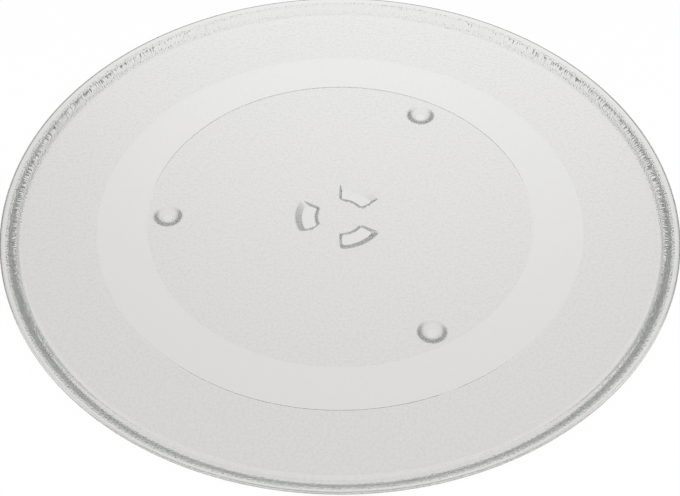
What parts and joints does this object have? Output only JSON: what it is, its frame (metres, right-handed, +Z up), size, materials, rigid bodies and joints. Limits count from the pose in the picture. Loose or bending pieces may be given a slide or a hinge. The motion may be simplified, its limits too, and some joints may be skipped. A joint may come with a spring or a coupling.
{
  "type": "microwave turntable plate",
  "caption": "Round clear glass turntable plate for a microwave oven, with a low lipped rim, a smooth roller track, drive lugs and button feet on its stippled underside.",
  "frame": {"origin": "on the axis the plate turns about, in the plane its feet stand on", "axes": "+Z up along the axis of rotation, out of the dish; -X through one drive lug and one foot"},
  "size_m": [0.324, 0.324, 0.0107],
  "materials": {
    "glass": "clear pressed glass, smooth on top, finely stippled below apart from the track, lugs, feet and lip"
  },
  "bodies": {
    "root": {"turntable_plate": "glass"}
  },
  "joints": []
}
